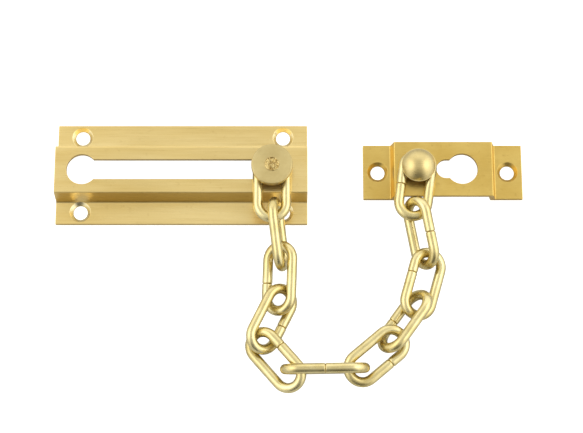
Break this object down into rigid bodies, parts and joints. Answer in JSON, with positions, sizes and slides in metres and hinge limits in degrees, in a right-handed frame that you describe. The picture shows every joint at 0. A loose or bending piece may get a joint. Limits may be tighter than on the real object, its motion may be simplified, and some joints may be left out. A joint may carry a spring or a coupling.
{
  "type": "door chain guard",
  "caption": "Door chain guard: slotted track plate with a sliding button runner, a chain of round-wire links, and a joggled keeper plate with a parking keyhole.",
  "frame": {"origin": "middle of the track plate's screw pattern, on its back face", "axes": "+X along the track towards the keeper, +Y up the door, +Z away from the door"},
  "size_m": [0.1857, 0.1088, 0.0185],
  "materials": {
    "track_brass": "satin drawn brass with fine lengthwise grain",
    "stud_brass": "turned brass, stem end peened",
    "button_brass": "matt turned brass, greyish tan face",
    "chain_brass": "pale bright brass wire with butt seams",
    "keeper_brass": "satin rolled brass",
    "rivet_brass": "polished brass dome"
  },
  "bodies": {
    "track": {"track_plate": "track_brass"},
    "runner": {"runner_stud": "stud_brass", "runner_button": "button_brass"},
    "link_01": {"chain_link_01": "chain_brass"},
    "link_02": {"chain_link_02": "chain_brass"},
    "link_03": {"chain_link_03": "chain_brass"},
    "link_04": {"chain_link_04": "chain_brass"},
    "link_05": {"chain_link_05": "chain_brass"},
    "link_06": {"chain_link_06": "chain_brass"},
    "link_07": {"chain_link_07": "chain_brass"},
    "link_08": {"chain_link_08": "chain_brass"},
    "link_09": {"chain_link_09": "chain_brass"},
    "link_10": {"chain_link_10": "chain_brass"},
    "link_11": {"chain_link_11": "chain_brass"},
    "keeper": {"keeper_plate": "keeper_brass", "keeper_rivet": "rivet_brass"}
  },
  "joints": [
    {"name": "runner_slide", "type": "slide", "parent": "track", "child": "runner", "axis": [1, 0, 0], "range_m": [-0.0752, 0]},
    {"name": "link_01_swing", "type": "hinge", "parent": "runner", "child": "link_01", "pos_m": [0.036, 0, 0], "axis": [0, 0, 1], "range_deg": [0, 26.5]},
    {"name": "link_02_swing", "type": "hinge", "parent": "link_01", "child": "link_02", "pos_m": [0.036, -0.02035, 0.012], "axis": [1, 0, 0], "range_deg": [-75, 10]},
    {"name": "link_03_swing", "type": "hinge", "parent": "link_02", "child": "link_03", "pos_m": [0.03973, -0.03485, 0.00744], "axis": [0, 0, 1], "range_deg": [0, 8.5]},
    {"name": "link_04_swing", "type": "hinge", "parent": "link_03", "child": "link_04", "pos_m": [0.03856, -0.05617, 0.00527], "axis": [-0.8456, 0.0849, -0.527], "range_deg": [-5, 25]},
    {"name": "link_05_swing", "type": "hinge", "parent": "link_04", "child": "link_05", "pos_m": [0.02979, -0.06842, 0.00544], "axis": [0, 0, 1], "range_deg": [-24.5, 0]},
    {"name": "link_06_swing", "type": "hinge", "parent": "link_05", "child": "link_06", "pos_m": [0.04584, -0.0851, 0.00629], "axis": [-0.6583, -0.6127, -0.4373], "range_deg": [-25, 5]},
    {"name": "link_07_swing", "type": "hinge", "parent": "link_06", "child": "link_07", "pos_m": [0.06929, -0.08056, 0.0069], "axis": [0, 0, 1], "range_deg": [-28.5, 0]},
    {"name": "link_08_swing", "type": "hinge", "parent": "link_07", "child": "link_08", "pos_m": [0.08627, -0.0658, 0.006], "axis": [0.6263, -0.7464, -0.225], "range_deg": [0, 75]},
    {"name": "link_09_swing", "type": "hinge", "parent": "link_08", "child": "link_09", "pos_m": [0.09499, -0.05019, 0.0064], "axis": [0.5308, -0.3856, 0.7547], "range_deg": [-75, 5]},
    {"name": "link_10_swing", "type": "hinge", "parent": "link_09", "child": "link_10", "pos_m": [0.09851, -0.03324, 0.0053], "axis": [0.9033, -0.259, -0.342], "range_deg": [-5, 55]},
    {"name": "link_11_swing", "type": "hinge", "parent": "link_10", "child": "link_11", "pos_m": [0.0919, -0.0133, 0.01031], "axis": [0, 0, 1], "range_deg": [-60, 50]},
    {"name": "keeper_swing", "type": "hinge", "parent": "link_11", "child": "keeper", "pos_m": [0.0938, 0.001, 0], "axis": [0, 0, 1], "range_deg": [0, 18.5]}
  ],
  "couplings": [
    {"joint": "link_01_swing", "follows": "runner_slide", "rad_per_m": -6.0344},
    {"joint": "link_03_swing", "follows": "runner_slide", "rad_per_m": -1.8567},
    {"joint": "link_05_swing", "follows": "runner_slide", "rad_per_m": 5.5702},
    {"joint": "link_07_swing", "follows": "runner_slide", "rad_per_m": 6.4986},
    {"joint": "keeper_swing", "follows": "runner_slide", "rad_per_m": -4.1776}
  ]
}
